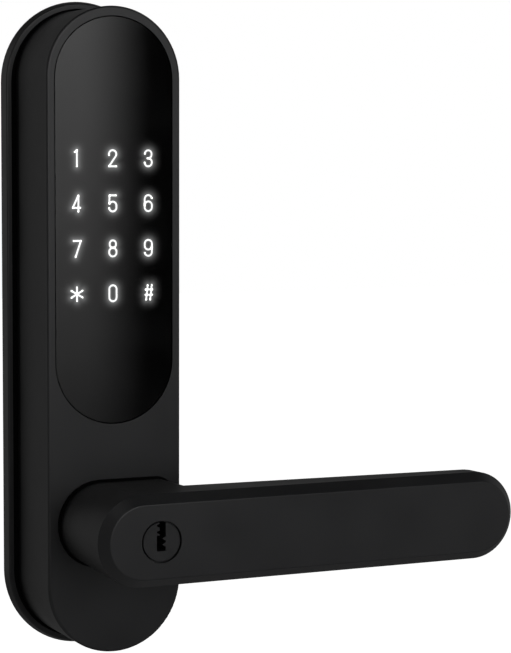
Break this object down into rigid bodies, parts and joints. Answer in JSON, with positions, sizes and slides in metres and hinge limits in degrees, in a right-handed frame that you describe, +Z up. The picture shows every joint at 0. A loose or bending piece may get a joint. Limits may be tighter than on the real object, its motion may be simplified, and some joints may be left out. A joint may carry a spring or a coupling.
{
  "type": "keypad lever lock",
  "caption": "Outside unit of an electronic door lock: slim round-ended housing with a backlit glass touch keypad over a lever handle that carries a key cylinder.",
  "frame": {"origin": "on the lever's turning axis, in the plane of the door face at the rear of the back plate", "axes": "+Z up along the housing, +Y into the door, +X along the lever from its axis to its tip"},
  "size_m": [0.1484, 0.1065, 0.206],
  "materials": {
    "black_coat": "fine matt powder coat on die-cast metal",
    "panel_glass": "polished black-backed glass",
    "black_plug": "satin black plated brass",
    "black_rubber": "moulded rubber",
    "steel": "zinc-plated steel",
    "brass": "turned brass",
    "dark_plastic": "moulded plastic",
    "light_plastic": "milky moulded plastic",
    "green_board": "solder-masked board"
  },
  "bodies": {
    "housing": {"back_plate": "black_coat", "housing_shell": "black_coat", "glass_panel": "panel_glass", "door_gasket": "black_rubber", "cable_grommet": "black_rubber", "fixing_posts": "steel", "housing_screws": "steel", "board_screws": "steel", "mechanism_plate": "steel", "plate_screws": "steel", "stop_pins": "steel", "return_spring": "steel", "clutch_motor": "steel", "legend_mask": "dark_plastic", "light_barrier": "dark_plastic", "processor_chip": "dark_plastic", "buzzer": "dark_plastic", "lever_bush": "dark_plastic", "clutch_bracket": "dark_plastic", "glass_adhesive": "dark_plastic", "diffuser_sheet": "light_plastic", "keypad_leds": "light_plastic", "board_connector": "light_plastic", "keypad_board": "green_board"},
    "lever": {"lever_handle": "black_coat", "grub_screws": "steel", "lever_shaft": "steel", "shaft_circlip": "steel", "clutch_collar": "steel", "hub_snap_ring": "steel", "cylinder_body": "black_plug", "driver_pins": "brass"},
    "key_plug": {"key_plug": "black_plug", "key_pins": "brass", "plug_clip": "steel", "plug_tailpiece": "steel"},
    "spindle": {"clutch_hub": "steel", "spindle": "steel"},
    "clutch_pin": {"clutch_pin": "steel"},
    "clutch_slider": {"clutch_slider": "dark_plastic"},
    "motor_screw": {"motor_screw": "steel"}
  },
  "joints": [
    {"name": "lever_turn", "type": "hinge", "parent": "housing", "child": "lever", "pos_m": [0, 0, 0], "axis": [0, 1, 0], "range_deg": [0, 50], "stiffness_Nm_per_rad": 1, "springref_deg": -57.3},
    {"name": "spindle_turn", "type": "hinge", "parent": "housing", "child": "spindle", "pos_m": [0, 0, 0], "axis": [0, 1, 0], "range_deg": [0, 50]},
    {"name": "key_turn", "type": "hinge", "parent": "lever", "child": "key_plug", "pos_m": [0, -0.05, 0], "axis": [0, 1, 0], "range_deg": [0, 90]},
    {"name": "screw_turn", "type": "hinge", "parent": "housing", "child": "motor_screw", "pos_m": [0, -0.016, -0.02], "axis": [0, 0, 1], "range_deg": [0, 360]},
    {"name": "clutch_lift", "type": "slide", "parent": "housing", "child": "clutch_slider", "axis": [0, 0, 1], "range_m": [0, 0.0025]},
    {"name": "pin_lift", "type": "slide", "parent": "lever", "child": "clutch_pin", "axis": [0, 0, 1], "range_m": [0, 0.0025]}
  ],
  "couplings": [
    {"joint": "spindle_turn", "follows": "lever_turn", "ratio": 1},
    {"joint": "screw_turn", "follows": "clutch_lift", "rad_per_m": 2513.3},
    {"joint": "pin_lift", "follows": "clutch_lift", "ratio": 1}
  ]
}
